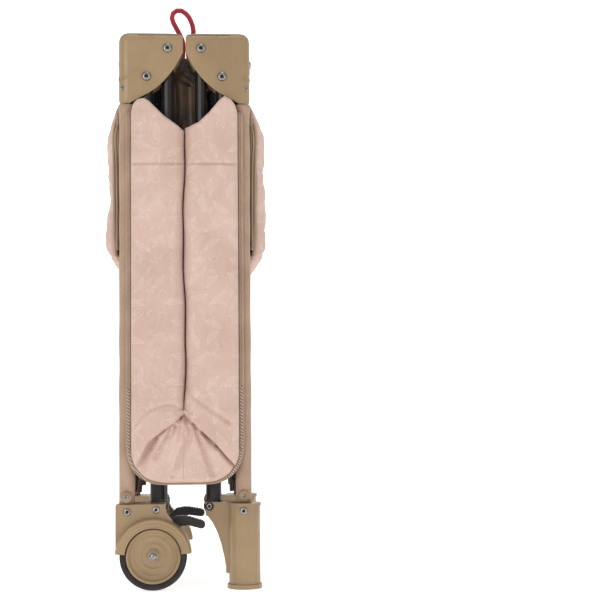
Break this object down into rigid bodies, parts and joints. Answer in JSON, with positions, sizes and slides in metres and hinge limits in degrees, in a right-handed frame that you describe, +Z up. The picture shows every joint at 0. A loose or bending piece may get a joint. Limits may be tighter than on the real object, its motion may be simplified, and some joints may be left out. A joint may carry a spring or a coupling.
{
  "type": "playpen",
  "caption": "Folding playpen in its upright stored state: fabric sides between corner posts, folded rails and floor tubes, two castors with brakes, two plain feet and a pull loop.",
  "frame": {"origin": "on the floor, midway between the four posts", "axes": "+Z up, +X from the wheeled end to the end with plain feet, -Y the front"},
  "size_m": [0.226, 0.236, 0.8489],
  "materials": {
    "tan_plastic": "satin moulded",
    "black_tube": "satin powder coat",
    "black_plastic": "satin moulded",
    "rubber": "matte",
    "steel": "polished",
    "sleeve_fabric": "plain woven",
    "pink_fabric": "printed woven",
    "brown_fabric": "satin woven",
    "red_webbing": "woven"
  },
  "bodies": {
    "wheel_front_left": {"wheel_hub_front_left": "tan_plastic", "tyre_front_left": "rubber"},
    "pedal_front_left": {"brake_pedal_front_left": "black_plastic"},
    "post_front_left": {"corner_bracket_front_left": "tan_plastic", "post_tube_front_left": "black_tube", "post_sleeve_front_left": "sleeve_fabric", "long_side_fabric_front_left": "pink_fabric", "short_side_fabric_front_left": "pink_fabric", "wheel_housing_front_left": "tan_plastic", "axle_front_left": "steel"},
    "long_rail_upper_bar_front_left": {"long_rail_upper_bar_front_left": "black_tube"},
    "long_rail_lower_bar_front_left": {"long_rail_lower_bar_front_left": "black_tube"},
    "short_rail_bar_front_left": {"short_rail_bar_front_left": "black_tube"},
    "floor_tube_front_left": {"floor_tube_front_left": "black_tube"},
    "post_front_right": {"corner_bracket_front_right": "tan_plastic", "post_tube_front_right": "black_tube", "post_sleeve_front_right": "sleeve_fabric", "long_side_fabric_front_right": "pink_fabric", "short_side_fabric_front_right": "pink_fabric", "foot_front_right": "tan_plastic"},
    "long_rail_upper_bar_front_right": {"long_rail_upper_bar_front_right": "black_tube"},
    "long_rail_lower_bar_front_right": {"long_rail_lower_bar_front_right": "black_tube"},
    "short_rail_bar_front_right": {"short_rail_bar_front_right": "black_tube"},
    "floor_tube_front_right": {"floor_tube_front_right": "black_tube"},
    "wheel_back_left": {"wheel_hub_back_left": "tan_plastic", "tyre_back_left": "rubber"},
    "pedal_back_left": {"brake_pedal_back_left": "black_plastic"},
    "post_back_left": {"corner_bracket_back_left": "tan_plastic", "post_tube_back_left": "black_tube", "post_sleeve_back_left": "sleeve_fabric", "long_side_fabric_back_left": "pink_fabric", "short_side_fabric_back_left": "pink_fabric", "wheel_housing_back_left": "tan_plastic", "axle_back_left": "steel"},
    "long_rail_upper_bar_back_left": {"long_rail_upper_bar_back_left": "black_tube"},
    "long_rail_lower_bar_back_left": {"long_rail_lower_bar_back_left": "black_tube"},
    "short_rail_bar_back_left": {"short_rail_bar_back_left": "black_tube"},
    "floor_tube_back_left": {"floor_tube_back_left": "black_tube"},
    "post_back_right": {"corner_bracket_back_right": "tan_plastic", "post_tube_back_right": "black_tube", "post_sleeve_back_right": "sleeve_fabric", "long_side_fabric_back_right": "pink_fabric", "short_side_fabric_back_right": "pink_fabric", "foot_back_right": "tan_plastic"},
    "long_rail_upper_bar_back_right": {"long_rail_upper_bar_back_right": "black_tube"},
    "long_rail_lower_bar_back_right": {"long_rail_lower_bar_back_right": "black_tube"},
    "short_rail_bar_back_right": {"short_rail_bar_back_right": "black_tube"},
    "floor_tube_back_right": {"floor_tube_back_right": "black_tube"},
    "long_rail_hinge_front": {"long_rail_hinge_front": "tan_plastic"},
    "long_rail_button_front": {"long_rail_button_front": "black_plastic"},
    "long_rail_hinge_back": {"long_rail_hinge_back": "tan_plastic"},
    "long_rail_button_back": {"long_rail_button_back": "black_plastic"},
    "short_rail_hinge_left": {"short_rail_hinge_left": "tan_plastic"},
    "short_rail_button_left": {"short_rail_button_left": "black_plastic"},
    "short_rail_hinge_right": {"short_rail_hinge_right": "tan_plastic"},
    "short_rail_button_right": {"short_rail_button_right": "black_plastic"},
    "floor_hub": {"floor_hub": "black_plastic", "floor_fabric": "brown_fabric", "pull_loop": "red_webbing"}
  },
  "joints": [
    {"name": "fold", "type": "hinge", "parent": "post_front_left", "child": "long_rail_upper_bar_front_left", "pos_m": [-0.0238, -0.081, 0.766], "axis": [0, -1, 0], "range_deg": [0, 90], "deforming": ["long_side_fabric_front_left", "long_side_fabric_front_right", "long_side_fabric_back_left", "long_side_fabric_back_right", "short_side_fabric_front_left", "short_side_fabric_front_right", "short_side_fabric_back_left", "short_side_fabric_back_right", "floor_fabric"]},
    {"name": "front_hinge_left", "type": "hinge", "parent": "long_rail_upper_bar_front_left", "child": "long_rail_hinge_front", "pos_m": [-0.0238, -0.081, 0.23], "axis": [0, -1, 0], "range_deg": [-90, 0]},
    {"name": "front_hinge_right", "type": "hinge", "parent": "long_rail_hinge_front", "child": "long_rail_upper_bar_front_right", "pos_m": [0.0238, -0.081, 0.23], "axis": [0, -1, 0], "range_deg": [-90, 0]},
    {"name": "front_right_bracket", "type": "hinge", "parent": "long_rail_upper_bar_front_right", "child": "post_front_right", "pos_m": [0.0238, -0.081, 0.766], "axis": [0, -1, 0], "range_deg": [0, 90]},
    {"name": "front_lower_left", "type": "hinge", "parent": "post_front_left", "child": "long_rail_lower_bar_front_left", "pos_m": [-0.0537, -0.081, 0.725], "axis": [0, -1, 0], "range_deg": [0, 90]},
    {"name": "front_lower_right", "type": "hinge", "parent": "post_front_right", "child": "long_rail_lower_bar_front_right", "pos_m": [0.0537, -0.081, 0.725], "axis": [0, -1, 0], "range_deg": [-90, 0]},
    {"name": "left_front_bracket", "type": "hinge", "parent": "post_front_left", "child": "short_rail_bar_front_left", "pos_m": [-0.081, -0.0238, 0.757], "axis": [1, 0, 0], "range_deg": [0, 90]},
    {"name": "left_hinge_front", "type": "hinge", "parent": "short_rail_bar_front_left", "child": "short_rail_hinge_left", "pos_m": [-0.081, -0.0238, 0.521], "axis": [1, 0, 0], "range_deg": [-90, 0]},
    {"name": "left_hinge_back", "type": "hinge", "parent": "short_rail_hinge_left", "child": "short_rail_bar_back_left", "pos_m": [-0.081, 0.0238, 0.521], "axis": [1, 0, 0], "range_deg": [-90, 0]},
    {"name": "left_back_bracket", "type": "hinge", "parent": "short_rail_bar_back_left", "child": "post_back_left", "pos_m": [-0.081, 0.0238, 0.757], "axis": [1, 0, 0], "range_deg": [0, 90]},
    {"name": "right_front_bracket", "type": "hinge", "parent": "post_front_right", "child": "short_rail_bar_front_right", "pos_m": [0.081, -0.0238, 0.757], "axis": [1, 0, 0], "range_deg": [0, 90]},
    {"name": "right_hinge_front", "type": "hinge", "parent": "short_rail_bar_front_right", "child": "short_rail_hinge_right", "pos_m": [0.081, -0.0238, 0.521], "axis": [1, 0, 0], "range_deg": [-90, 0]},
    {"name": "right_hinge_back", "type": "hinge", "parent": "short_rail_hinge_right", "child": "short_rail_bar_back_right", "pos_m": [0.081, 0.0238, 0.521], "axis": [1, 0, 0], "range_deg": [-90, 0]},
    {"name": "right_back_bracket", "type": "hinge", "parent": "short_rail_bar_back_right", "child": "post_back_right", "pos_m": [0.081, 0.0238, 0.757], "axis": [1, 0, 0], "range_deg": [0, 90]},
    {"name": "back_upper_left", "type": "hinge", "parent": "post_back_left", "child": "long_rail_upper_bar_back_left", "pos_m": [-0.0238, 0.081, 0.766], "axis": [0, -1, 0], "range_deg": [0, 90]},
    {"name": "back_hinge_left", "type": "hinge", "parent": "long_rail_upper_bar_back_left", "child": "long_rail_hinge_back", "pos_m": [-0.0238, 0.081, 0.23], "axis": [0, -1, 0], "range_deg": [-90, 0]},
    {"name": "back_lower_left", "type": "hinge", "parent": "post_back_left", "child": "long_rail_lower_bar_back_left", "pos_m": [-0.0537, 0.081, 0.725], "axis": [0, -1, 0], "range_deg": [0, 90]},
    {"name": "back_upper_right", "type": "hinge", "parent": "post_back_right", "child": "long_rail_upper_bar_back_right", "pos_m": [0.0238, 0.081, 0.766], "axis": [0, -1, 0], "range_deg": [-90, 0]},
    {"name": "back_lower_right", "type": "hinge", "parent": "post_back_right", "child": "long_rail_lower_bar_back_right", "pos_m": [0.0537, 0.081, 0.725], "axis": [0, -1, 0], "range_deg": [-90, 0]},
    {"name": "floor_front_left", "type": "hinge", "parent": "post_front_left", "child": "floor_tube_front_left", "pos_m": [-0.0398, -0.055, 0.1127], "axis": [-0.403, 0.9152, 0], "range_deg": [0, 90]},
    {"name": "hub_front_left", "type": "hinge", "parent": "floor_tube_front_left", "child": "floor_hub", "pos_m": [-0.0398, -0.055, 0.69835], "axis": [-0.403, 0.9152, 0], "range_deg": [-90, 0]},
    {"name": "hub_front_right", "type": "hinge", "parent": "floor_hub", "child": "floor_tube_front_right", "pos_m": [0.0398, -0.055, 0.69835], "axis": [-0.403, -0.9152, 0], "range_deg": [0, 90]},
    {"name": "hub_back_left", "type": "hinge", "parent": "floor_hub", "child": "floor_tube_back_left", "pos_m": [-0.0398, 0.055, 0.69835], "axis": [0.403, 0.9152, 0], "range_deg": [0, 90]},
    {"name": "hub_back_right", "type": "hinge", "parent": "floor_hub", "child": "floor_tube_back_right", "pos_m": [0.0398, 0.055, 0.69835], "axis": [0.403, -0.9152, 0], "range_deg": [0, 90]},
    {"name": "roll_front_left", "type": "hinge", "parent": "post_front_left", "child": "wheel_front_left", "pos_m": [-0.045, -0.094, 0.047], "axis": [0, 1, 0], "continuous": true},
    {"name": "brake_front_left", "type": "hinge", "parent": "post_front_left", "child": "pedal_front_left", "pos_m": [-0.018, -0.064, 0.084], "axis": [0, -1, 0], "range_deg": [0, 8]},
    {"name": "roll_back_left", "type": "hinge", "parent": "post_back_left", "child": "wheel_back_left", "pos_m": [-0.045, 0.094, 0.047], "axis": [0, 1, 0], "continuous": true},
    {"name": "brake_back_left", "type": "hinge", "parent": "post_back_left", "child": "pedal_back_left", "pos_m": [-0.018, 0.064, 0.084], "axis": [0, -1, 0], "range_deg": [-8, 0]},
    {"name": "press_front", "type": "slide", "parent": "long_rail_hinge_front", "child": "long_rail_button_front", "axis": [0, 0, 1], "range_m": [0, 0.004]},
    {"name": "press_back", "type": "slide", "parent": "long_rail_hinge_back", "child": "long_rail_button_back", "axis": [0, 0, 1], "range_m": [0, 0.004]},
    {"name": "press_left", "type": "slide", "parent": "short_rail_hinge_left", "child": "short_rail_button_left", "axis": [0, 0, 1], "range_m": [0, 0.004]},
    {"name": "press_right", "type": "slide", "parent": "short_rail_hinge_right", "child": "short_rail_button_right", "axis": [0, 0, 1], "range_m": [0, 0.004]}
  ],
  "couplings": [
    {"joint": "front_hinge_left", "follows": "fold", "ratio": -1},
    {"joint": "front_hinge_right", "follows": "fold", "ratio": -1},
    {"joint": "front_right_bracket", "follows": "fold", "ratio": 1},
    {"joint": "front_lower_left", "follows": "fold", "ratio": 1},
    {"joint": "front_lower_right", "follows": "fold", "ratio": -1},
    {"joint": "left_front_bracket", "follows": "fold", "ratio": 1},
    {"joint": "left_hinge_front", "follows": "fold", "ratio": -1},
    {"joint": "left_hinge_back", "follows": "fold", "ratio": -1},
    {"joint": "left_back_bracket", "follows": "fold", "ratio": 1},
    {"joint": "right_front_bracket", "follows": "fold", "ratio": 1},
    {"joint": "right_hinge_front", "follows": "fold", "ratio": -1},
    {"joint": "right_hinge_back", "follows": "fold", "ratio": -1},
    {"joint": "right_back_bracket", "follows": "fold", "ratio": 1},
    {"joint": "back_upper_left", "follows": "fold", "ratio": 1},
    {"joint": "back_hinge_left", "follows": "fold", "ratio": -1},
    {"joint": "back_lower_left", "follows": "fold", "ratio": 1},
    {"joint": "back_upper_right", "follows": "fold", "ratio": -1},
    {"joint": "back_lower_right", "follows": "fold", "ratio": -1},
    {"joint": "floor_front_left", "follows": "fold", "ratio": 1},
    {"joint": "hub_front_left", "follows": "fold", "ratio": -1},
    {"joint": "hub_front_right", "follows": "fold", "ratio": 1},
    {"joint": "hub_back_left", "follows": "fold", "ratio": 1},
    {"joint": "hub_back_right", "follows": "fold", "ratio": 1}
  ]
}
